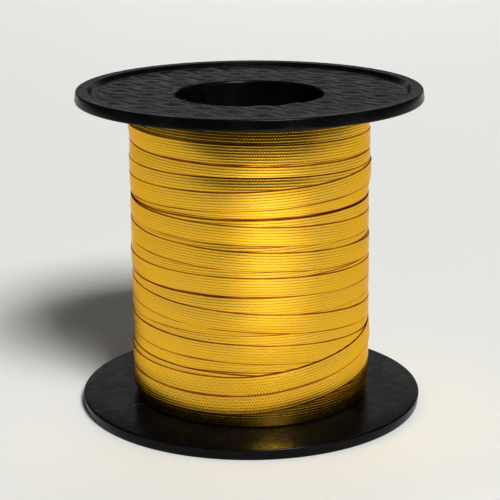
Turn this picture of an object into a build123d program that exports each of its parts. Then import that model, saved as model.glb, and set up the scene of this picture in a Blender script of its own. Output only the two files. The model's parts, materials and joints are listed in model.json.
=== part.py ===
from build123d import *
import math
import os

# A reel of metallic curling ribbon, standing on its lower flange.
# Millimetres. +Z runs up the reel's axis, and the origin is the centre of the
# plane that the lower rim stands on.

# The reel: one black moulding, divided here into its two flanges and its hub.
flange_diameter = 90.0     # at the edge that faces the ribbon, before it is rounded
winding_width = 78.5       # between the two flanges
rim_thickness = 2.9        # along the axis, at the raised rim
rim_draft = 0.34           # how far the edge leans in across the rim's thickness
rim_land = 2.9             # width of the flat ring that the reel stands on
recess_depth = 1.5         # from the rim's flat ring down to the recessed face
recess_wall_run = 1.1      # how far the sloping wall of the recess reaches in
rim_round = 0.5            # rounding of the rim's outer edges
land_round = 0.35          # rounding where the flat ring turns into the recess
floor_round = 0.6          # rounding at the foot of the recess wall
bore_diameter = 38.1       # for a one and a half inch spindle
bore_lip_round = 0.8       # rounding of the mouth of the bore
hub_wall = 2.4             # of the tube that the ribbon is wound on

# The ribbon: one strip of metallised film, wound back and forth on the hub.
ribbon_width = 5.0
ribbon_thickness = 0.1
wound_diameter = 63.2      # over the ribbon
outer_turns_depth = 0.6    # thickness of the last few layers
shoulder_height = 10.8     # the top turns lean in over this height
shoulder_drop = 1.1        # and by this much
winding_side_gap = 0.05    # between the ribbon's edges and each flange

# The outer end of the ribbon and the clear tape that holds it, at the back.
tail_length = 42.0
tail_height = 24.5         # from the inside of the lower flange to its middle
tail_direction = 62.0      # where the tail starts, in degrees from +X
tail_cut_angle = 35.0      # slant of the scissor cut
tape_thickness = 0.08
tape_width = 12.0
end_tape_length = 26.0
end_tape_hold = 13.0       # how much of the tail lies under the tape

# The tape that holds the ribbon's inner end to the hub.
start_tape_length = 20.0
start_tape_height = 30.0   # from the inside of the lower flange to its middle
start_tape_direction = 20.0
start_tape_gap = 0.05      # all round the tape, inside the ribbon

# Places that follow from those sizes.
flange_radius = flange_diameter / 2
land_outer_radius = flange_radius - rim_draft
land_inner_radius = land_outer_radius - rim_land
recess_floor_radius = land_inner_radius - recess_wall_run
bore_radius = bore_diameter / 2
hub_radius = bore_radius + hub_wall
wound_radius = wound_diameter / 2
core_radius = wound_radius - outer_turns_depth
reel_height = winding_width + 2 * rim_thickness
upper_face = rim_thickness + winding_width
ribbon_low = rim_thickness + winding_side_gap
ribbon_high = upper_face - winding_side_gap
shoulder_low = ribbon_high - shoulder_height


def arc_degrees(length, radius):
    """Degrees that a length takes up round a circle."""
    return math.degrees(length / radius)


os.makedirs("parts", exist_ok=True)

# Lower flange: a disc with a raised rim round a recessed outer face, pierced by the bore.
with BuildPart() as lower_flange:
    with BuildSketch(Plane.XZ) as lower_flange_section:
        with BuildLine():
            Polyline(
                (bore_radius, recess_depth),
                (recess_floor_radius, recess_depth),
                (land_inner_radius, 0),
                (land_outer_radius, 0),
                (flange_radius, rim_thickness),
                (bore_radius, rim_thickness),
                close=True,
            )
        make_face()
        outer_corners = vertices().group_by(Axis.X)[-2] + vertices().group_by(Axis.X)[-1]
        land_corner = vertices().sort_by(Axis.X)[-3]
        floor_corner = vertices().sort_by(Axis.X)[-4]
        bore_lip = vertices().group_by(Axis.X)[0].sort_by(Axis.Z)[0]
        fillet(outer_corners, radius=rim_round)
        fillet(land_corner, radius=land_round)
        fillet(floor_corner, radius=floor_round)
        fillet(bore_lip, radius=bore_lip_round)
    revolve(axis=Axis.Z)
lower_flange.part.label = "lower_flange"
export_step(lower_flange.part, "parts/lower_flange.step")

# Hub: the tube between the flanges, with the bore running through it.
with BuildPart() as hub:
    with BuildSketch(Plane.XY.offset(rim_thickness)):
        Circle(hub_radius)
        Circle(bore_radius, mode=Mode.SUBTRACT)
    extrude(amount=winding_width)
hub.part.label = "hub"
export_step(hub.part, "parts/hub.step")

# Upper flange: the lower one turned over at the other end of the hub.
with BuildPart() as upper_flange:
    mirror(lower_flange.part, about=Plane.XY.offset(reel_height / 2))
upper_flange.part.label = "upper_flange"
export_step(upper_flange.part, "parts/upper_flange.step")

# Start tape: a patch round the hub that holds the ribbon's inner end.
with BuildPart() as start_tape:
    with BuildSketch(Plane.XZ.rotated((0, 0, start_tape_direction))):
        with Locations((hub_radius + tape_thickness / 2, rim_thickness + start_tape_height)):
            Rectangle(tape_thickness, tape_width)
    revolve(axis=Axis.Z, revolution_arc=arc_degrees(start_tape_length, hub_radius))
start_tape.part.label = "start_tape"
export_step(start_tape.part, "parts/start_tape.step")

# Ribbon winding: all the buried turns, as one body with a pocket round the start tape.
start_gap_degrees = arc_degrees(start_tape_gap, hub_radius)
with BuildPart() as ribbon_winding:
    with BuildSketch(Plane.XZ):
        with BuildLine():
            Polyline(
                (hub_radius, ribbon_low),
                (core_radius, ribbon_low),
                (core_radius, shoulder_low),
                (core_radius - shoulder_drop, ribbon_high),
                (hub_radius, ribbon_high),
                close=True,
            )
        make_face()
    revolve(axis=Axis.Z)
    with BuildSketch(Plane.XZ.rotated((0, 0, start_tape_direction - start_gap_degrees))):
        with Locations((hub_radius, rim_thickness + start_tape_height)):
            Rectangle(
                2 * (tape_thickness + start_tape_gap),
                tape_width + 2 * start_tape_gap,
            )
    revolve(
        axis=Axis.Z,
        revolution_arc=arc_degrees(start_tape_length, hub_radius) + 2 * start_gap_degrees,
        mode=Mode.SUBTRACT,
    )
ribbon_winding.part.label = "ribbon_winding"
export_step(ribbon_winding.part, "parts/ribbon_winding.step")

# Outer turns: the last layers of the same ribbon, leaning in under the upper flange.
with BuildPart() as outer_turns:
    with BuildSketch(Plane.XZ):
        with BuildLine():
            Polyline(
                (core_radius, ribbon_low),
                (wound_radius, ribbon_low),
                (wound_radius, shoulder_low),
                (wound_radius - shoulder_drop, ribbon_high),
                (core_radius - shoulder_drop, ribbon_high),
                (core_radius, shoulder_low),
                close=True,
            )
        make_face()
    revolve(axis=Axis.Z)
outer_turns.part.label = "outer_turns"
export_step(outer_turns.part, "parts/outer_turns.step")

# Ribbon tail: the cut outer end of the ribbon, lying on the outer turns at the back.
tail_degrees = arc_degrees(tail_length, wound_radius)
tail_end = tail_direction + tail_degrees
with BuildPart() as ribbon_tail:
    with BuildSketch(Plane.XZ.rotated((0, 0, tail_direction))):
        with Locations((wound_radius + ribbon_thickness / 2, rim_thickness + tail_height)):
            Rectangle(ribbon_thickness, ribbon_width)
    revolve(axis=Axis.Z, revolution_arc=tail_degrees)
    tail_tip = Vector(wound_radius, 0, 0).rotate(Axis.Z, tail_end)
    tail_tip = tail_tip + Vector(0, 0, rim_thickness + tail_height + ribbon_width / 2)
    along_ribbon = Vector(0, 1, 0).rotate(Axis.Z, tail_end)
    slant = math.radians(tail_cut_angle)
    cut_normal = along_ribbon * math.cos(slant) - Vector(0, 0, 1) * math.sin(slant)
    split(bisect_by=Plane(origin=tail_tip, z_dir=cut_normal), keep=Keep.BOTTOM)
ribbon_tail.part.label = "ribbon_tail"
export_step(ribbon_tail.part, "parts/ribbon_tail.step")

# End tape: a clear patch over the tail's end, bedded on the turns round it.
end_tape_start = tail_end - arc_degrees(end_tape_hold, wound_radius)
with BuildPart() as end_tape:
    with BuildSketch(Plane.XZ.rotated((0, 0, end_tape_start))):
        tape_depth = ribbon_thickness + tape_thickness
        with Locations((wound_radius + tape_depth / 2, rim_thickness + tail_height)):
            Rectangle(tape_depth, tape_width)
    revolve(axis=Axis.Z, revolution_arc=arc_degrees(end_tape_length, wound_radius))
    add(ribbon_tail.part, mode=Mode.SUBTRACT)
end_tape.part.label = "end_tape"
export_step(end_tape.part, "parts/end_tape.step")
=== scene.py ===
import json
import math

import bmesh
import bpy
import numpy as np
from mathutils import Matrix, Vector


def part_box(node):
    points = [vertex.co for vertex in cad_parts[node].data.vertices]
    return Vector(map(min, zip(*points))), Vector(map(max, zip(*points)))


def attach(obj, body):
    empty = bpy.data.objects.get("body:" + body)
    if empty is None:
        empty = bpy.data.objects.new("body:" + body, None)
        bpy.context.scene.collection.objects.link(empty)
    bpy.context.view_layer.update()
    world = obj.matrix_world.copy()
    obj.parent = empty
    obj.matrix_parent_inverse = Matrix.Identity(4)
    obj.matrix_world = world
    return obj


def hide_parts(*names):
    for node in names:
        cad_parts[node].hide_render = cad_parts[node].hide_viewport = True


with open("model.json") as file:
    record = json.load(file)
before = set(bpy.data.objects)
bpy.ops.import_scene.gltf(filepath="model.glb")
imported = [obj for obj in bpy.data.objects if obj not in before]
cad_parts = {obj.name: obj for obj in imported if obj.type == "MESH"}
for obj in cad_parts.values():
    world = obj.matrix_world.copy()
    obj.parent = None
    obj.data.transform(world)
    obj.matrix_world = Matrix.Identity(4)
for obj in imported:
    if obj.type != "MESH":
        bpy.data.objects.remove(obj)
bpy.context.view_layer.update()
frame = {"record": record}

# ---------------------------------------------------------------------------
# Camera: a long lens in front of the reel and a little above it, looking
# slightly down, held a touch off level.
# ---------------------------------------------------------------------------
camera_data = bpy.data.cameras.new("camera")
camera_data.lens = 114.8
camera_data.shift_y = -0.10
camera_data.clip_start = 0.01
camera = bpy.data.objects.new("camera", camera_data)
bpy.context.scene.collection.objects.link(camera)
camera.location = (0.0, -0.4059, 0.1541)
looking_down = math.radians(13.82)
head_tilt = math.radians(-0.35)
aim = Matrix.Rotation(math.pi / 2 - looking_down, 3, "X") @ Matrix.Rotation(head_tilt, 3, "Z")
camera.rotation_euler = aim.to_euler()
bpy.context.scene.camera = camera
bpy.context.scene.view_settings.view_transform = "Standard"
bpy.context.scene.view_settings.gamma = 0.82

# ---------------------------------------------------------------------------
# Table: a pale paper sheet under the reel, bent up a little far behind it.
# It ends in front of the reel, where the room beyond is dim.
# ---------------------------------------------------------------------------
TABLE_FRONT = -0.325
TABLE_BACK = 1.05
TABLE_HALF_WIDTH = 0.8
BEND_RADIUS = 0.12
BEND_STEPS = 12
PAPER_WHITE = (0.86, 0.865, 0.84, 1.0)


def plain_object(name, vertices, faces):
    """A mesh object at the origin, made from vertices and faces."""
    mesh = bpy.data.meshes.new(name)
    mesh.from_pydata([tuple(v) for v in vertices], [], [tuple(f) for f in faces])
    mesh.update()
    piece = bpy.data.objects.new(name, mesh)
    bpy.context.scene.collection.objects.link(piece)
    return piece


def node_material(name, roughness, metallic=0.0):
    """A new node material: the material, its tree and its Principled shader."""
    material = bpy.data.materials.new(name)
    material.use_nodes = True
    shader = material.node_tree.nodes["Principled BSDF"]
    shader.inputs["Roughness"].default_value = roughness
    shader.inputs["Metallic"].default_value = metallic
    return material, material.node_tree, shader


paper_line = [(TABLE_FRONT, 0.0)]
for step in range(BEND_STEPS + 1):
    turn = math.pi / 2 * step / BEND_STEPS
    paper_line.append((TABLE_BACK + BEND_RADIUS * math.sin(turn), BEND_RADIUS * (1 - math.cos(turn))))
paper_points = [(x, y, z) for y, z in paper_line for x in (-TABLE_HALF_WIDTH, TABLE_HALF_WIDTH)]
paper_faces = [(2 * k, 2 * k + 1, 2 * k + 3, 2 * k + 2) for k in range(len(paper_line) - 1)]
table = plain_object("table", paper_points, paper_faces)
table.data.shade_smooth()
pale_paper, _, paper = node_material("pale_paper", 0.95)
paper.inputs["Base Color"].default_value = PAPER_WHITE
paper.inputs["Specular IOR Level"].default_value = 0.0
table.data.materials.append(pale_paper)

# ---------------------------------------------------------------------------
# Studio light: a soft key high in front on the right, a pool of light on the
# table in front, and soft boxes behind, above and on each side. The room gives
# little light, but looks pale where it shows beyond the table.
# ---------------------------------------------------------------------------
KEY_POWER = 356.0
FRONT_POOL_POWER = 0.40
SIDE_BOX_POWER = 0.09
HIGH_BOX_POWER = 0.6
OVERHEAD_POWER = 0.9
BACK_BOX_POWER = 0.42
BACK_TABLE_POWER = 0.9
ROOM_LIGHT = 0.018
ROOM_SEEN = 0.80
NEAR_REEL_TOP = (0.0, 0.0, 0.08)


def soft_light(name, place, target, width, height, power, spread=180.0):
    """A rectangular area light at a place, turned towards a target."""
    data = bpy.data.lights.new(name, "AREA")
    data.shape = "RECTANGLE"
    data.size = width
    data.size_y = height
    data.energy = power
    data.spread = math.radians(spread)
    light = bpy.data.objects.new(name, data)
    light.location = place
    light.rotation_euler = (Vector(target) - Vector(place)).to_track_quat("-Z", "Y").to_euler()
    bpy.context.scene.collection.objects.link(light)


soft_light("key", (1.58, -3.45, 4.12), (0.0, 0.30, 0.0), 1.8, 1.8, KEY_POWER)
soft_light("front_pool", (0.09, -0.28, 0.50), (0.08, -0.255, 0.0), 0.10, 0.10, FRONT_POOL_POWER, 34.0)
soft_light("back_box", (0.08, 1.15, 0.40), NEAR_REEL_TOP, 1.1, 0.12, BACK_BOX_POWER)
soft_light("high_box", (0.05, 0.95, 0.85), NEAR_REEL_TOP, 0.55, 0.35, HIGH_BOX_POWER)
soft_light("overhead", (0.0, 0.12, 1.50), NEAR_REEL_TOP, 0.40, 0.40, OVERHEAD_POWER)
soft_light("back_table", (0.0, 0.95, 1.20), (0.0, 0.95, 0.0), 0.5, 0.5, BACK_TABLE_POWER, 105.0)
soft_light("left_box", (-0.95, -0.05, 0.22), NEAR_REEL_TOP, 1.0, 0.36, SIDE_BOX_POWER)
soft_light("right_box", (0.95, -0.05, 0.22), NEAR_REEL_TOP, 1.0, 0.36, SIDE_BOX_POWER)

room = bpy.data.worlds.new("room")
room.use_nodes = True
room_tree = room.node_tree
unseen = room_tree.nodes["Background"]
unseen.inputs["Color"].default_value = (ROOM_LIGHT, ROOM_LIGHT, ROOM_LIGHT, 1.0)
seen = room_tree.nodes.new("ShaderNodeBackground")
seen.inputs["Color"].default_value = (ROOM_SEEN, ROOM_SEEN, ROOM_SEEN, 1.0)
light_path = room_tree.nodes.new("ShaderNodeLightPath")
either = room_tree.nodes.new("ShaderNodeMixShader")
room_tree.links.new(light_path.outputs["Is Camera Ray"], either.inputs[0])
room_tree.links.new(unseen.outputs[0], either.inputs[1])
room_tree.links.new(seen.outputs[0], either.inputs[2])
room_tree.links.new(either.outputs[0], room_tree.nodes["World Output"].inputs["Surface"])
bpy.context.scene.world = room

# ---------------------------------------------------------------------------
# Reel: one black polypropylene moulding, two flanges on a tube. Each outer face
# is sunk inside a raised rim and carries a shallow relief of staggered bars.
# The mould's two side slides leave a fine line across both inner faces.
# ---------------------------------------------------------------------------
MM = 0.001
TOLERANCE = 0.01 * MM
EDGE_ROUNDED_OFF = 0.06 * MM
_, lower_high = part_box("lower_flange")
_, upper_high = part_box("upper_flange")
_, hub_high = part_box("hub")
reel_top = upper_high.z
inner_face = lower_high.z
flange_radius = lower_high.x + EDGE_ROUNDED_OFF
bore_radius = frame["record"]["mounts"][0]["dims"]["r_mm"] * MM
hub_radius = hub_high.x
RIM_DRAFT = 0.34 * MM
RIM_LAND = 2.9 * MM
RECESS_DEPTH = 1.5 * MM
RECESS_WALL_RUN = 1.1 * MM
BORE_LIP_ROUND = 0.8 * MM
RIM_ROUND = 0.5 * MM
LAND_ROUND = 0.35 * MM
FLOOR_ROUND = 0.6 * MM
REEL_SEGMENTS = 384
WIDE_FACE = 15 * MM
FLOOR_RINGS = 52
INNER_FACE_RINGS = 4
PARTING_ANGLE = math.radians(24.6)
PARTING_HALF_ANGLE = math.radians(0.22)
PARTING_DEPTH = 0.09 * MM
RELIEF = 0.42 * MM
RELIEF_FADE = 0.7 * MM
BAR_WAVER = 0.9
BAR_BREAK = 0.22


def rounded_outline(corners, arc_steps=5):
    """A closed outline of (r, z, rounding) corners, with its corners turned into arcs."""
    points = []
    for index, (r, z, rounding) in enumerate(corners):
        here = Vector((r, z))
        if rounding == 0:
            points.append(here)
            continue
        before = (Vector(corners[index - 1][:2]) - here).normalized()
        after = (Vector(corners[(index + 1) % len(corners)][:2]) - here).normalized()
        half_angle = before.angle(after) / 2
        reach = rounding / math.tan(half_angle)
        centre = here + (before + after).normalized() * rounding / math.sin(half_angle)
        start, end = here + before * reach - centre, here + after * reach - centre
        sweep = start.angle_signed(end)
        for step in range(arc_steps + 1):
            points.append(centre + Matrix.Rotation(-sweep * step / arc_steps, 2) @ start)
    return points


def faced_outwards(piece):
    """Turns every face of a closed piece outwards and shades it smooth."""
    shape = bmesh.new()
    shape.from_mesh(piece.data)
    bmesh.ops.recalc_face_normals(shape, faces=shape.faces)
    shape.to_mesh(piece.data)
    shape.free()
    piece.data.shade_smooth()
    return piece


def turned_piece(name, outline, angles):
    """A closed outline of (r, z) points carried once round the Z axis, stopping at each angle."""
    rows = len(outline)
    vertices = []
    for angle in angles:
        vertices += [(p.x * math.cos(angle), p.x * math.sin(angle), p.y) for p in outline]
    faces = []
    for segment in range(len(angles)):
        here, beside = segment * rows, (segment + 1) % len(angles) * rows
        for row in range(rows):
            above = (row + 1) % rows
            faces.append((here + row, beside + row, beside + above, here + above))
    return faced_outwards(plain_object(name, vertices, faces))


class TreeWriter:
    """Adds nodes to a tree, giving each input a value or a link."""

    def __init__(self, tree):
        self.tree = tree

    def add(self, kind, inputs=None, **settings):
        node = self.tree.nodes.new(kind)
        for key, value in settings.items():
            setattr(node, key, value)
        for key, value in (inputs or {}).items():
            if isinstance(value, bpy.types.NodeSocket):
                self.tree.links.new(value, node.inputs[key])
            else:
                node.inputs[key].default_value = value
        return node

    def math(self, operation, *values):
        return self.add("ShaderNodeMath", dict(enumerate(values)), operation=operation).outputs[0]

    def ramp(self, value, low, high, to_low=0.0, to_high=1.0):
        """A smooth step from to_low to to_high as the value goes from low to high."""
        return self.add("ShaderNodeMapRange", {
            "Value": value, "From Min": low, "From Max": high, "To Min": to_low, "To Max": to_high},
            interpolation_type="SMOOTHSTEP").outputs[0]

    def mixed_colour(self, factor, first, second):
        """A mix of two colours, each a socket or a colour."""
        node = self.add("ShaderNodeMix", {0: factor, 6: first, 7: second}, data_type="RGBA")
        return node.outputs[2]


def new_group(name, kind, inputs, outputs):
    """A node group with named sockets: the group, its writer, its input and its output node."""
    group = bpy.data.node_groups.new(name, kind)
    for socket_name, socket_type, default in inputs:
        socket = group.interface.new_socket(socket_name, in_out="INPUT", socket_type=socket_type)
        if default is not None:
            socket.default_value = default
    for socket_name, socket_type in outputs:
        group.interface.new_socket(socket_name, in_out="OUTPUT", socket_type=socket_type)
    return group, TreeWriter(group), group.nodes.new("NodeGroupInput"), group.nodes.new("NodeGroupOutput")


def grown(piece, group, values):
    """Runs a geometry group on the piece and leaves the result as its plain mesh."""
    modifier = piece.modifiers.new(group.name, "NODES")
    modifier.node_group = group
    identifiers = {item.name: item.identifier for item in group.interface.items_tree
                   if item.item_type == "SOCKET" and item.in_out == "INPUT"}
    for socket_name, value in values.items():
        modifier[identifiers[socket_name]] = value
    bpy.context.view_layer.update()
    evaluated = piece.evaluated_get(bpy.context.evaluated_depsgraph_get())
    mesh = bpy.data.meshes.new_from_object(evaluated)
    piece.modifiers.remove(modifier)
    piece.data = mesh
    return piece


land_outer = flange_radius - RIM_DRAFT
land_inner = land_outer - RIM_LAND
floor_outer = land_inner - RECESS_WALL_RUN
half_section = [
    (bore_radius, RECESS_DEPTH, BORE_LIP_ROUND),
    (floor_outer, RECESS_DEPTH, FLOOR_ROUND),
    (land_inner, 0.0, LAND_ROUND),
    (land_outer, 0.0, RIM_ROUND),
    (flange_radius, inner_face, RIM_ROUND),
    (hub_radius, inner_face, 0.0),
]
other_half = [(r, reel_top - z, rounding) for r, z, rounding in reversed(half_section)]
reel_outline = []
bare_outline = rounded_outline(half_section + other_half)
for index, point in enumerate(bare_outline):
    following = bare_outline[(index + 1) % len(bare_outline)]
    reel_outline.append(point)
    is_flat = abs(point.y - following.y) < 0.001 * MM
    if is_flat and abs(point.x - following.x) > WIDE_FACE:
        in_recess = min(point.y, reel_top - point.y) < inner_face - 0.1 * MM
        rings = FLOOR_RINGS if in_recess else INNER_FACE_RINGS
        reel_outline += [point.lerp(following, ring / rings) for ring in range(1, rings)]
reel_angles = [PARTING_ANGLE + 2 * math.pi * k / REEL_SEGMENTS for k in range(REEL_SEGMENTS)]
for half_turn in (0.0, math.pi):
    reel_angles.append(PARTING_ANGLE + half_turn + PARTING_HALF_ANGLE)
    reel_angles.append(PARTING_ANGLE + half_turn - PARTING_HALF_ANGLE)
reel_angles = sorted(angle % (2 * math.pi) for angle in reel_angles)
reel = turned_piece("reel", reel_outline, reel_angles)
for vertex in reel.data.vertices:
    x, y, z = vertex.co
    off_line = abs(y * math.cos(PARTING_ANGLE) - x * math.sin(PARTING_ANGLE))
    if off_line < TOLERANCE and abs(z - inner_face) < TOLERANCE:
        vertex.co.z -= PARTING_DEPTH
    if off_line < TOLERANCE and abs(z - (reel_top - inner_face)) < TOLERANCE:
        vertex.co.z += PARTING_DEPTH

moulded_relief, n, given, result = new_group(
    "moulded_relief", "GeometryNodeTree",
    [("Geometry", "NodeSocketGeometry", None),
     ("Bar length", "NodeSocketFloat", 7.5 * MM),
     ("Bar stagger", "NodeSocketFloat", 5.2 * MM),
     ("Bar pitch", "NodeSocketFloat", 9.4 * MM),
     ("Relief", "NodeSocketFloat", RELIEF),
     ("Dish width", "NodeSocketFloat", 7.5 * MM),
     ("Dish rise", "NodeSocketFloat", 0.28 * MM),
     ("Recess depth", "NodeSocketFloat", RECESS_DEPTH),
     ("Recess outer radius", "NodeSocketFloat", None),
     ("Floor inner radius", "NodeSocketFloat", None),
     ("Floor outer radius", "NodeSocketFloat", None),
     ("Middle height", "NodeSocketFloat", None),
     ("Floor height", "NodeSocketFloat", None),
     ("Material", "NodeSocketMaterial", None)],
    [("Geometry", "NodeSocketGeometry")])
place = n.add("ShaderNodeSeparateXYZ", {0: n.add("GeometryNodeInputPosition").outputs[0]})
x, y, z = place.outputs
radius = n.math("SQRT", n.math("ADD", n.math("MULTIPLY", x, x), n.math("MULTIPLY", y, y)))
side = n.math("SUBTRACT", z, given.outputs["Middle height"])
above_floor = n.math("SUBTRACT", n.math("ABSOLUTE", side), given.outputs["Floor height"])
off_floor = n.math("ABSOLUTE", above_floor)
on_floor = n.math("LESS_THAN", off_floor, TOLERANCE)
along = n.math("DIVIDE", x, given.outputs["Bar length"])
bar_turn = n.math("MULTIPLY", along, 2 * math.pi)
waver = n.math("MULTIPLY", n.math("SINE", bar_turn), BAR_WAVER / (2 * math.pi))
stair = n.math("MULTIPLY", n.math("ADD", along, waver), given.outputs["Bar stagger"])
row = n.math("DIVIDE", n.math("ADD", y, stair), given.outputs["Bar pitch"])
wave = n.math("COSINE", n.math("MULTIPLY", row, 2 * math.pi))
ridge = n.math("MULTIPLY", n.math("ADD", wave, 1.0), 0.5)
break_up = n.math("MULTIPLY", n.math("COSINE", bar_turn), BAR_BREAK)
bar = n.math("MULTIPLY", ridge, n.math("SUBTRACT", 1.0 - BAR_BREAK, break_up))
by_bore = n.ramp(radius, given.outputs["Floor inner radius"],
                 n.math("ADD", given.outputs["Floor inner radius"], RELIEF_FADE))
by_wall = n.ramp(radius, n.math("SUBTRACT", given.outputs["Floor outer radius"], RELIEF_FADE),
                 given.outputs["Floor outer radius"], 1.0, 0.0)
height = n.math("MULTIPLY", n.math("MULTIPLY", bar, given.outputs["Relief"]),
                n.math("MULTIPLY", on_floor, n.math("MULTIPLY", by_bore, by_wall)))
# The floor rises a little towards the rim, and the foot of the recess wall goes with it.
dish_start = n.math("SUBTRACT", given.outputs["Floor outer radius"], given.outputs["Dish width"])
out_share = n.math("MAXIMUM", n.math(
    "DIVIDE", n.math("SUBTRACT", radius, dish_start), given.outputs["Dish width"]), 0.0)
dish = n.math("MULTIPLY", n.math("MULTIPLY", out_share, out_share), given.outputs["Dish rise"])
down_wall = n.math("MAXIMUM", n.math(
    "SUBTRACT", 1.0, n.math("DIVIDE", off_floor, given.outputs["Recess depth"])), 0.0)
in_recess = n.math("MULTIPLY", n.math("GREATER_THAN", above_floor, -TOLERANCE),
                   n.math("LESS_THAN", radius, given.outputs["Recess outer radius"]))
raised = n.math("ADD", height, n.math("MULTIPLY", dish, n.math("MULTIPLY", down_wall, in_recess)))
offset = n.add("ShaderNodeCombineXYZ", {2: n.math("MULTIPLY", raised, n.math("SIGN", side))})
moved = n.add("GeometryNodeSetPosition", {"Geometry": given.outputs[0], "Offset": offset.outputs[0]})
painted = n.add("GeometryNodeSetMaterial", {
    "Geometry": moved.outputs[0], "Material": given.outputs["Material"]})
realized = n.add("GeometryNodeRealizeInstances", {0: painted.outputs[0]})
moulded_relief.links.new(realized.outputs[0], result.inputs[0])

# Dust and lint that has settled: sparse pale specks, which the tape shows too.
settled_dust, n, given, result = new_group(
    "settled_dust", "ShaderNodeTree",
    [("Place", "NodeSocketVector", None),
     ("Spacing", "NodeSocketFloat", 3.0 * MM),
     ("Speck size", "NodeSocketFloat", 0.12 * MM),
     ("Share of places", "NodeSocketFloat", 0.1)],
    [("Specks", "NodeSocketFloat"), ("Haze", "NodeSocketFloat")])
per_metre = n.math("DIVIDE", 1.0, given.outputs["Spacing"])
cells = n.add("ShaderNodeTexVoronoi", {"Vector": given.outputs["Place"], "Scale": per_metre},
              voronoi_dimensions="3D")
size = n.math("DIVIDE", given.outputs["Speck size"], given.outputs["Spacing"])
near = n.ramp(cells.outputs["Distance"], n.math("MULTIPLY", size, 0.5), size, 1.0, 0.0)
pick = n.add("ShaderNodeSeparateColor", {0: cells.outputs["Color"]})
picked = n.math("LESS_THAN", pick.outputs[0], given.outputs["Share of places"])
settled_dust.links.new(n.math("MULTIPLY", near, picked), result.inputs[0])
haze = n.add("ShaderNodeTexNoise", {"Vector": given.outputs["Place"], "Scale": 140.0, "Detail": 4.0})
settled_dust.links.new(n.ramp(haze.outputs[0], 0.42, 0.72), result.inputs[1])

BLACK = (0.0030, 0.0030, 0.0032, 1.0)
BLACK_SCUFFED = (0.007, 0.007, 0.0073, 1.0)
DUST = (0.42, 0.41, 0.39, 1.0)
black_plastic, plastic_tree, plastic = node_material("black_polypropylene", 0.36)
plastic.inputs["Specular IOR Level"].default_value = 0.18
n = TreeWriter(plastic_tree)
own_place = n.add("ShaderNodeTexCoord").outputs["Object"]
dust = n.add("ShaderNodeGroup", node_tree=settled_dust, inputs={
    "Place": own_place, "Spacing": 3.4 * MM, "Speck size": 0.16 * MM, "Share of places": 0.06})
scuffed = n.mixed_colour(dust.outputs["Haze"], BLACK, BLACK_SCUFFED)
plastic_tree.links.new(n.mixed_colour(dust.outputs["Specks"], scuffed, DUST), plastic.inputs["Base Color"])
uneven = n.add("ShaderNodeTexNoise", {"Vector": own_place, "Scale": 260.0, "Detail": 5.0})
plastic_tree.links.new(n.ramp(uneven.outputs[0], 0.3, 0.7, 0.22, 0.30), plastic.inputs["Roughness"])
grain = n.add("ShaderNodeTexNoise", {"Vector": own_place, "Scale": 3800.0, "Detail": 3.0})
bumped = n.add("ShaderNodeBump", {"Strength": 0.5, "Distance": 0.012 * MM, "Height": grain.outputs[0]})
plastic_tree.links.new(bumped.outputs[0], plastic.inputs["Normal"])

grown(reel, moulded_relief, {
    "Relief": RELIEF,
    "Floor inner radius": bore_radius + BORE_LIP_ROUND,
    "Floor outer radius": floor_outer - 0.25 * MM,
    "Recess outer radius": land_inner - TOLERANCE,
    "Middle height": reel_top / 2,
    "Floor height": reel_top / 2 - RECESS_DEPTH,
    "Material": black_plastic})
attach(reel, "root")
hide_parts("lower_flange", "hub", "upper_flange")

# ---------------------------------------------------------------------------
# Start tape: a patch of clear tape on the tube, which holds the ribbon's inner
# end. It lies under the whole winding.
# ---------------------------------------------------------------------------
TAPE_CLEAR = (0.90, 0.88, 0.80, 1.0)
TAPE_YELLOWED = (0.80, 0.74, 0.56, 1.0)
clear_tape, tape_tree, tape_shader = node_material("clear_tape_film", 0.12)
n = TreeWriter(tape_tree)
own_place = n.add("ShaderNodeTexCoord").outputs["Object"]
dust = n.add("ShaderNodeGroup", node_tree=settled_dust, inputs={
    "Place": own_place, "Spacing": 2.2 * MM, "Speck size": 0.14 * MM, "Share of places": 0.10})
tape_tree.links.new(n.mixed_colour(dust.outputs["Haze"], TAPE_CLEAR, TAPE_YELLOWED),
                    tape_shader.inputs["Base Color"])
bubbles = n.add("ShaderNodeTexNoise", {"Vector": own_place, "Scale": 420.0, "Detail": 3.0})
cloud = n.ramp(bubbles.outputs[0], 0.45, 0.75, 0.15, 0.24)
tape_tree.links.new(n.math("MAXIMUM", cloud, dust.outputs["Specks"]), tape_shader.inputs["Alpha"])
bumped = n.add("ShaderNodeBump", {"Strength": 0.4, "Distance": 0.02 * MM, "Height": bubbles.outputs[0]})
tape_tree.links.new(bumped.outputs[0], tape_shader.inputs["Normal"])
start_tape = bpy.data.objects["start_tape"]
for slot in start_tape.material_slots:
    slot.material = clear_tape

# ---------------------------------------------------------------------------
# Gold ribbon: 5 mm slit film with a vacuum-metallised gold face, embossed with
# seven rows of fine dashes. The buried turns make one compact body.
# ---------------------------------------------------------------------------
RIBBON_WIDTH = 5.0 * MM
FILM_THICKNESS = 0.06 * MM
AIR_GAP = 0.012 * MM
FILM_CROWN = 0.07 * MM
LAID_DEPTH = 0.95 * MM
turns_low, turns_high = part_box("outer_turns")
wound_radius = turns_high.x
SHOULDER_HEIGHT = 10.8 * MM
SHOULDER_DROP = 1.1 * MM
FOOT_HEIGHT = 8.4 * MM
FOOT_TUCK = 0.5 * MM
shoulder_low = turns_high.z - SHOULDER_HEIGHT
BURIED_ROWS = 16
BURIED_SEGMENTS = 180
ROOM_FOR_START_TAPE = 0.14 * MM
SUNK_BELOW_TURNS = 0.05 * MM
# Heights of the winding's lumps, in millimetres.
LOPSIDED_LUMP = 0.09
LEVEL_LUMP = 0.05
SPIRAL_LUMP = 0.05
DASH_REACH = 0.46
ROW_REACH = 0.34
WEAR_STRETCH = (40.0, 400.0, 1.0)

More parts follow.
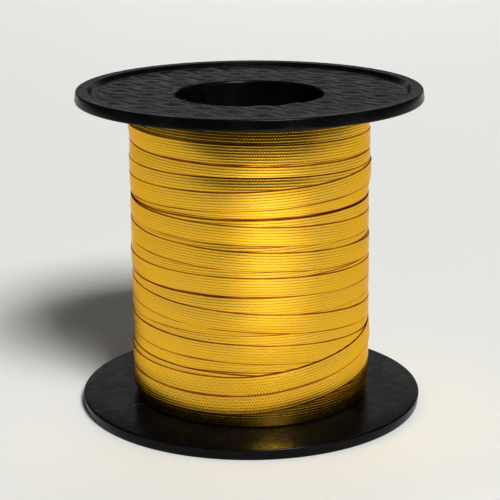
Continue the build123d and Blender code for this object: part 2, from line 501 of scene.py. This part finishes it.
embossed_rows, n, given, result = new_group(
    "embossed_rows", "ShaderNodeTree",
    [("Map", "NodeSocketVector", None),
     ("Ribbon width", "NodeSocketFloat", RIBBON_WIDTH),
     ("Row pitch", "NodeSocketFloat", 0.7 * MM),
     ("Dash pitch", "NodeSocketFloat", 0.75 * MM),
     ("Slit edge and painted shade", "NodeSocketFloat", 0.25 * MM)],
    [("Height", "NodeSocketFloat"), ("Slit edge and painted shade", "NodeSocketFloat"), ("Wear", "NodeSocketFloat")])
place = n.add("ShaderNodeSeparateXYZ", {0: given.outputs["Map"]})
row = n.math("DIVIDE", place.outputs[1], given.outputs["Row pitch"])
brick = n.math("MULTIPLY", n.math("FLOORED_MODULO", n.math("FLOOR", row), 2.0), 0.5)
dash = n.math("ADD", n.math("DIVIDE", place.outputs[0], given.outputs["Dash pitch"]), brick)
in_dash = n.math("DIVIDE", n.math("SUBTRACT", n.math("FRACT", dash), 0.5), DASH_REACH)
in_row = n.math("DIVIDE", n.math("SUBTRACT", n.math("FRACT", row), 0.5), ROW_REACH)
outward = n.math("SQRT", n.math("ADD", n.math("MULTIPLY", in_dash, in_dash),
                                n.math("MULTIPLY", in_row, in_row)))
embossed_rows.links.new(n.ramp(outward, 0.35, 1.0, 1.0, 0.0), result.inputs[0])
# Each film edge gets a darker red-brown band. It is partly the slit edge's own colour and partly painted
# shade of the gap and step beside the next turn.
from_edge = n.math("MINIMUM", place.outputs[1],
                   n.math("SUBTRACT", given.outputs["Ribbon width"], place.outputs[1]))
stretch = n.add("ShaderNodeVectorMath", {0: given.outputs["Map"], 1: WEAR_STRETCH},
                operation="MULTIPLY")
uneven = n.add("ShaderNodeTexNoise", {"Vector": stretch.outputs[0], "Scale": 1.0, "Detail": 3.0})
edge_width = n.math("MULTIPLY", given.outputs["Slit edge and painted shade"], n.ramp(uneven.outputs[0], 0.32, 0.68, 0.4, 1.7))
slit_edge_and_shade = n.ramp(from_edge, n.math("MULTIPLY", edge_width, 0.55), edge_width, 1.0, 0.0)
embossed_rows.links.new(slit_edge_and_shade, result.inputs[1])
embossed_rows.links.new(uneven.outputs[0], result.inputs[2])

GOLD = (0.925, 0.555, 0.046, 1.0)
GOLD_WORN = (0.90, 0.56, 0.068, 1.0)
# Red-brown of the slit edge, darkened as painted shade of the gap under each turn's edge.
SLIT_EDGE_AND_SHADE_BROWN = (0.36, 0.085, 0.010, 1.0)
gold_film, film_tree, film = node_material("gold_film", 0.3, 1.0)
film.inputs["Specular Tint"].default_value = (1.0, 0.80, 0.48, 1.0)
n = TreeWriter(film_tree)
ribbon_place = n.add("ShaderNodeUVMap", uv_map="ribbon_map").outputs[0]
emboss = n.add("ShaderNodeGroup", {"Map": ribbon_place}, node_tree=embossed_rows)
toned = n.mixed_colour(n.ramp(emboss.outputs["Wear"], 0.35, 0.65), GOLD, GOLD_WORN)
# The edge band paints shade along the steps between turns, mixed with the slit edge's own colour.
film_tree.links.new(n.mixed_colour(emboss.outputs["Slit edge and painted shade"], toned, SLIT_EDGE_AND_SHADE_BROWN),
                    film.inputs["Base Color"])
film_tree.links.new(n.ramp(emboss.outputs["Wear"], 0.3, 0.7, 0.18, 0.27), film.inputs["Roughness"])
bumped = n.add("ShaderNodeBump", {
    "Strength": 1.0, "Distance": 0.026 * MM, "Height": emboss.outputs["Height"]})
film_tree.links.new(bumped.outputs[0], film.inputs["Normal"])


def buried_radius(angle, height):
    """Radius of the buried turns: a lumpy cylinder that leans in at the top and at the foot."""
    lean = np.clip((height - shoulder_low) / SHOULDER_HEIGHT, 0, 1) * SHOULDER_DROP
    lean = lean + np.clip((turns_low.z + FOOT_HEIGHT - height) / FOOT_HEIGHT, 0, 1) * FOOT_TUCK
    lumps = LOPSIDED_LUMP * np.sin(height / (4.6 * MM) + 1.0) * np.sin(angle + 0.6)
    lumps = (lumps + LEVEL_LUMP * np.sin(height / (2.9 * MM))
             + SPIRAL_LUMP * np.sin(2 * angle + height / (7 * MM)))
    return wound_radius - LAID_DEPTH - lean + lumps * MM


buried_heights = np.linspace(turns_low.z, turns_high.z, BURIED_ROWS + 1)
buried_outline = [Vector((hub_radius + ROOM_FOR_START_TAPE, turns_low.z))]
buried_outline += [Vector((wound_radius, height)) for height in buried_heights]
buried_outline.append(Vector((hub_radius + ROOM_FOR_START_TAPE, turns_high.z)))
buried_angles = [2 * math.pi * k / BURIED_SEGMENTS for k in range(BURIED_SEGMENTS)]
buried = turned_piece("buried_turns", buried_outline, buried_angles)
for vertex in buried.data.vertices:
    x, y, z = vertex.co
    if math.hypot(x, y) > wound_radius - TOLERANCE:
        direction = math.atan2(x, -y)
        shrink = (buried_radius(direction, z) - SUNK_BELOW_TURNS) / math.hypot(x, y)
        vertex.co.x *= shrink
        vertex.co.y *= shrink
buried_map = buried.data.uv_layers.new(name="ribbon_map")
for face in buried.data.polygons:
    floor_height = min(buried.data.vertices[v].co.z for v in face.vertices)
    for corner, v in zip(face.loop_indices, face.vertices):
        x, y, z = buried.data.vertices[v].co
        round_reel = math.atan2(y, x) % (2 * math.pi)
        buried_map.data[corner].uv = (round_reel * wound_radius, z - floor_height)
buried.data.materials.append(gold_film)
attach(buried, "root")
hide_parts("ribbon_winding")

# ---------------------------------------------------------------------------
# Last turns of the same ribbon, to its cut end at the back. They are laid one
# by one in order: each rests on what lies under it, so it leans and steps as
# the film does, and its edges show where it crosses the turns before.
# ---------------------------------------------------------------------------
TURN_STEPS = 180
EARLIER_TURNS = 16
# In millimetres, as the heights of the last turns are.
LOWEST_MIDDLE = 5.5
HIGHEST_MIDDLE = 78.7
WANDER = 0.4
# In turns: the run before the first station, and the tail's level stretch, back from the end.
LEAD_IN = 0.2
TAIL_FROM = 0.56
TAIL_TO = 0.366
# On the laying grid.
LAY_CELL = 0.1 * MM
PATH_EASING = 18
PRESS_STEPS = 11
CLEARING_STEPS = 3
ACROSS_STEPS = 41
MIDDLE_STEP = 20
CREASE_ANGLE = 0.6
SECTION_COLUMNS = 4
CUT_SLANT = math.radians(35.0)

# The layers laid before the last turns: whether each climbs, and how much of it is laid.
EARLIER_LAYERS = ((True, 1.0), (False, 1.0), (True, 0.72))

# Middle height of each of the last turns, in millimetres, at the left, the front and the right.
LAST_TURNS = [
    (60.0, 61.5, 64.2), (68.0, 69.6, 71.5), (75.0, 76.8, 78.0), (78.6, 78.6, 78.4),
    (78.0, 76.9, 75.8), (73.9, 73.0, 71.5), (69.4, 67.6, 66.4), (64.6, 65.0, 63.4), (60.4, 61.4, 63.6),
    (54.8, 52.7, 50.3), (48.8, 46.3, 43.5), (40.2, 39.8, 37.7), (33.5, 30.6, 26.4),
    (24.0, 22.4, 19.3), (16.2, 14.6, 11.0), (8.3, 6.6, 5.7), (5.6, 5.6, 5.6),
    (8.8, 8.7, 15.8), (14.1, 13.7, 20.9),
]
random = np.random.default_rng(20)
stations, middles = [], []
turn_number = 0
for climbing, share_laid in EARLIER_LAYERS:
    for k in range(int(EARLIER_TURNS * share_laid)):
        share = k / (EARLIER_TURNS - 1)
        middle = LOWEST_MIDDLE + (HIGHEST_MIDDLE - LOWEST_MIDDLE) * (share if climbing else 1 - share)
        for quarter in (-0.25, 0.0, 0.25):
            stations.append(turn_number + quarter)
            wander = random.normal(0, WANDER)
            middles.append(min(max(middle + wander, LOWEST_MIDDLE), HIGHEST_MIDDLE))
        turn_number += 1
for left, front, right in LAST_TURNS:
    stations += [turn_number - 0.25, turn_number, turn_number + 0.25]
    middles += [left, front, right]
    turn_number += 1
tail_low, tail_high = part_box("ribbon_tail")
tail_middle = (tail_low.z + tail_high.z) / 2
stations += [turn_number - TAIL_FROM, turn_number - TAIL_TO]
middles += [tail_middle / MM, tail_middle / MM]


def eased(values, reach):
    """A moving average over a reach to both sides."""
    weights = np.hanning(2 * reach + 3)[1:-1]
    return np.convolve(np.pad(values, reach, mode="edge"), weights / weights.sum(), mode="valid")


def widened(values, reach):
    """The largest value within a reach to both sides."""
    padded = np.pad(values, reach, mode="edge")
    return np.max([padded[k:k + len(values)] for k in range(2 * reach + 1)], axis=0)


places = np.arange(round((stations[0] - LEAD_IN) * TURN_STEPS), round(stations[-1] * TURN_STEPS) + 1)
middle_heights = eased(np.interp(places / TURN_STEPS, stations, middles), PATH_EASING) * MM
lay_heights = np.arange(turns_low.z, turns_high.z, LAY_CELL)
surface = np.array([buried_radius(2 * math.pi * k / TURN_STEPS, lay_heights) for k in range(TURN_STEPS)])
across = np.linspace(-0.5, 0.5, ACROSS_STEPS) * RIBBON_WIDTH
left_side, right_side = across[:MIDDLE_STEP], across[MIDDLE_STEP + 1:]


def resting_line(columns, line_middles):
    """Radius and lean of the film pressed on the surface, where it bridges two high places."""
    under = np.array([np.interp(middle + across, lay_heights, surface[column])
                      for column, middle in zip(columns, line_middles)])
    left_under, right_under = under[:, :MIDDLE_STEP], under[:, MIDDLE_STEP + 1:]
    centre = under[:, MIDDLE_STEP]
    a, b = left_under[:, :, None], right_under[:, None, :]
    ua, ub = left_side[None, :, None], right_side[None, None, :]
    bridges = ((a * ub - b * ua) / (ub - ua)).reshape(len(columns), -1)
    best = bridges.argmax(axis=1)
    rows, i, j = np.arange(len(columns)), best // MIDDLE_STEP, best % MIDDLE_STEP
    radius = bridges[rows, best]
    lean = (right_under[rows, j] - left_under[rows, i]) / (right_side[j] - left_side[i])
    least = np.max((right_under - centre[:, None]) / right_side, axis=1)
    most = np.min((left_under - centre[:, None]) / left_side, axis=1)
    crowned = centre > radius
    level = np.clip(lean, np.minimum(least, most), np.maximum(least, most))
    return np.where(crowned, centre, radius), np.where(crowned, level, lean), under


laid_radius, laid_lean = np.zeros(len(places)), np.zeros(len(places))
raw_radius, raw_lean = np.zeros(len(places)), np.zeros(len(places))
for start in range(0, len(places), TURN_STEPS):
    stop = min(start + TURN_STEPS, len(places))
    ahead = min(stop + PRESS_STEPS, len(places))
    behind = max(start - PRESS_STEPS, 0)
    columns = places[start:ahead] % TURN_STEPS
    raw_radius[start:ahead], raw_lean[start:ahead], under = resting_line(
        columns, middle_heights[start:ahead])
    pressed_lean = eased(raw_lean[behind:ahead], PRESS_STEPS)[start - behind:]
    pressed_radius = eased(raw_radius[behind:ahead], PRESS_STEPS)[start - behind:]
    sunk = np.max(under - pressed_radius[:, None] - pressed_lean[:, None] * across[None, :], axis=1)
    clearing = eased(widened(np.maximum(sunk, 0), CLEARING_STEPS), CLEARING_STEPS)
    pressed_radius = pressed_radius + clearing
    laid_radius[start:stop] = pressed_radius[:stop - start]
    laid_lean[start:stop] = pressed_lean[:stop - start]
    for k in range(start, stop):
        offsets = lay_heights - middle_heights[k]
        covered = np.abs(offsets) <= RIBBON_WIDTH / 2
        film_face = laid_radius[k] + laid_lean[k] * offsets[covered] + FILM_THICKNESS + AIR_GAP
        film_face += FILM_CROWN * (1 - (2 * offsets[covered] / RIBBON_WIDTH) ** 2)
        column = surface[places[k] % TURN_STEPS]
        column[covered] = np.maximum(column[covered], film_face)

# The springy last turn stands off the winding along its lower edge, on the right.
# Its place and reach are in turns, back from the end and to each side.
EDGE_LIFT = 0.4 * MM
LIFT_PLACE = 0.75
LIFT_REACH = 0.13
from_lift = (places / TURN_STEPS - (turn_number - LIFT_PLACE)) / LIFT_REACH
lifted = EDGE_LIFT * np.exp(-from_lift ** 2)
laid_radius += lifted / 2
laid_lean -= lifted / RIBBON_WIDTH

laid_ribbon, n, given, result = new_group(
    "laid_ribbon", "GeometryNodeTree",
    [("Geometry", "NodeSocketGeometry", None),
     ("Width", "NodeSocketFloat", RIBBON_WIDTH),
     ("Thickness", "NodeSocketFloat", FILM_THICKNESS),
     ("Crown", "NodeSocketFloat", FILM_CROWN),
     ("Material", "NodeSocketMaterial", None)],
    [("Geometry", "NodeSocketGeometry")])
line = n.add("GeometryNodeMeshToCurve", {0: given.outputs["Geometry"]})
upright = n.add("GeometryNodeSetCurveNormal", {0: line.outputs[0]}, mode="Z_UP")
lean = n.add("GeometryNodeInputNamedAttribute", {"Name": "lean"}, data_type="FLOAT")
leaning = n.add("GeometryNodeSetCurveTilt", {"Curve": upright.outputs[0], "Tilt": lean.outputs[0]})
path = n.add("GeometryNodeCaptureAttribute", {0: leaning.outputs[0]}, domain="POINT")
path.capture_items.new("FLOAT", "along")
laid_ribbon.links.new(n.add("GeometryNodeSplineParameter").outputs["Length"], path.inputs[1])
half_width = n.math("MULTIPLY", given.outputs["Width"], 0.5)
flat_section = n.add("GeometryNodeMeshGrid", {
    "Size X": given.outputs["Thickness"], "Size Y": given.outputs["Width"],
    "Vertices X": 2, "Vertices Y": SECTION_COLUMNS})
section_place = n.add("ShaderNodeSeparateXYZ", {0: n.add("GeometryNodeInputPosition").outputs[0]})
share_out = n.math("DIVIDE", section_place.outputs[1], half_width)
bulge = n.math("SUBTRACT", 1.0, n.math("MULTIPLY", share_out, share_out))
arched = n.add("ShaderNodeCombineXYZ", {0: n.math("MULTIPLY", bulge, given.outputs["Crown"])})
crowned_section = n.add("GeometryNodeSetPosition", {
    "Geometry": flat_section.outputs[0], "Offset": arched.outputs[0]})
beside_edge = n.add("GeometryNodeInputMeshEdgeNeighbors").outputs[0]
outline = n.add("GeometryNodeMeshToCurve", {
    "Mesh": crowned_section.outputs[0], "Selection": n.math("LESS_THAN", beside_edge, 1.5)})
section = n.add("GeometryNodeReverseCurve", {0: outline.outputs[0]})
profile = n.add("GeometryNodeCaptureAttribute", {0: section.outputs[0]}, domain="POINT")
profile.capture_items.new("FLOAT", "across")
laid_ribbon.links.new(section_place.outputs[1], profile.inputs[1])
strip = n.add("GeometryNodeCurveToMesh", {
    "Curve": path.outputs[0], "Profile Curve": profile.outputs[0], "Fill Caps": True})
film_place = n.add("ShaderNodeCombineXYZ", {
    0: path.outputs[1], 1: n.math("ADD", profile.outputs[1], half_width)})
mapped = n.add("GeometryNodeStoreNamedAttribute", {
    "Geometry": strip.outputs[0], "Name": "ribbon_map", "Value": film_place.outputs[0]},
    data_type="FLOAT2", domain="CORNER")
creased = n.math("GREATER_THAN", n.add("GeometryNodeInputMeshEdgeAngle").outputs[0], CREASE_ANGLE)
shaded = n.add("GeometryNodeSetShadeSmooth", {
    "Geometry": mapped.outputs[0], "Selection": creased, "Shade Smooth": False}, domain="EDGE")
painted = n.add("GeometryNodeSetMaterial", {
    "Geometry": shaded.outputs[0], "Material": given.outputs["Material"]})
realized = n.add("GeometryNodeRealizeInstances", {0: painted.outputs[0]})
laid_ribbon.links.new(realized.outputs[0], result.inputs[0])

film_middle = laid_radius + FILM_THICKNESS / 2
turned = 2 * math.pi * places / TURN_STEPS
path_points = np.column_stack([film_middle * np.sin(turned), -film_middle * np.cos(turned), middle_heights])
path_mesh = bpy.data.meshes.new("last_turns")
path_mesh.from_pydata(path_points.tolist(), [(k, k + 1) for k in range(len(places) - 1)], [])
path_mesh.attributes.new("lean", "FLOAT", "POINT").data.foreach_set("value", np.arctan(laid_lean))
last_turns = bpy.data.objects.new("last_turns", path_mesh)
bpy.context.scene.collection.objects.link(last_turns)
grown(last_turns, laid_ribbon, {
    "Width": RIBBON_WIDTH, "Thickness": FILM_THICKNESS, "Crown": FILM_CROWN, "Material": gold_film})
# The scissor cut: the last of the film's cross sections is turned back along a slant.
section_points = 2 * SECTION_COLUMNS
point_count = section_points * len(places)
for vertex in last_turns.data.vertices[point_count - section_points:point_count]:
    back = (vertex.co.z - middle_heights[-1] + RIBBON_WIDTH / 2) * math.tan(CUT_SLANT) / wound_radius
    vertex.co = Matrix.Rotation(-back, 3, "Z") @ vertex.co
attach(last_turns, "root")
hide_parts("outer_turns", "ribbon_tail")

# ---------------------------------------------------------------------------
# End tape: a patch of clear tape torn off a dispenser's teeth and rubbed down
# over the ribbon's cut end, so it follows the steps of the turns under it.
# ---------------------------------------------------------------------------
TAPE_THICKNESS = 0.05 * MM
TAPE_WIDTH = 12.0 * MM
TAPE_START = math.radians(204.6)
TAPE_SWEEP = math.radians(47.1)
TOOTH_DEPTH = 0.45 * MM
TAPE_COLUMNS = 96
TAPE_ROWS = 48
TAPE_TEETH = 8
TAPE_GAP = 0.01 * MM
tape_layers = []
for layer in (TAPE_GAP, TAPE_GAP + TAPE_THICKNESS):
    for column in range(TAPE_COLUMNS + 1):
        for row in range(TAPE_ROWS + 1):
            height = tail_middle + (row / TAPE_ROWS - 0.5) * TAPE_WIDTH
            tooth = TOOTH_DEPTH * abs((row * TAPE_TEETH / TAPE_ROWS) % 1.0 - 0.5) / wound_radius
            angle = TAPE_START + tooth + (TAPE_SWEEP - 2 * tooth) * column / TAPE_COLUMNS
            index = angle / (2 * math.pi) * TURN_STEPS
            cell = int((height - turns_low.z) / LAY_CELL)
            # The tape bridges small hollows, so it lies at the highest film nearby.
            nearby = surface[int(index) - 1:int(index) + 3, cell - 3:cell + 4]
            radius = nearby.max() + layer
            tape_layers.append((radius * math.sin(angle), -radius * math.cos(angle), height))
stride = TAPE_ROWS + 1
layer_size = stride * (TAPE_COLUMNS + 1)
tape_faces = []
for column in range(TAPE_COLUMNS):
    for row in range(TAPE_ROWS):
        a = column * stride + row
        tape_faces.append((a, a + 1, a + stride + 1, a + stride))
        tape_faces.append(tuple(layer_size + v for v in (a, a + stride, a + stride + 1, a + 1)))
rim = [k * stride for k in range(TAPE_COLUMNS + 1)]
rim += [TAPE_COLUMNS * stride + k for k in range(1, stride)]
rim += [k * stride + TAPE_ROWS for k in range(TAPE_COLUMNS - 1, -1, -1)]
rim += list(range(TAPE_ROWS - 1, 0, -1))
for here, beside in zip(rim, rim[1:] + rim[:1]):
    tape_faces.append((here, beside, layer_size + beside, layer_size + here))
end_tape = faced_outwards(plain_object("end_tape_patch", tape_layers, tape_faces))
end_tape.data.materials.append(clear_tape)
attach(end_tape, "root")
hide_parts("end_tape")
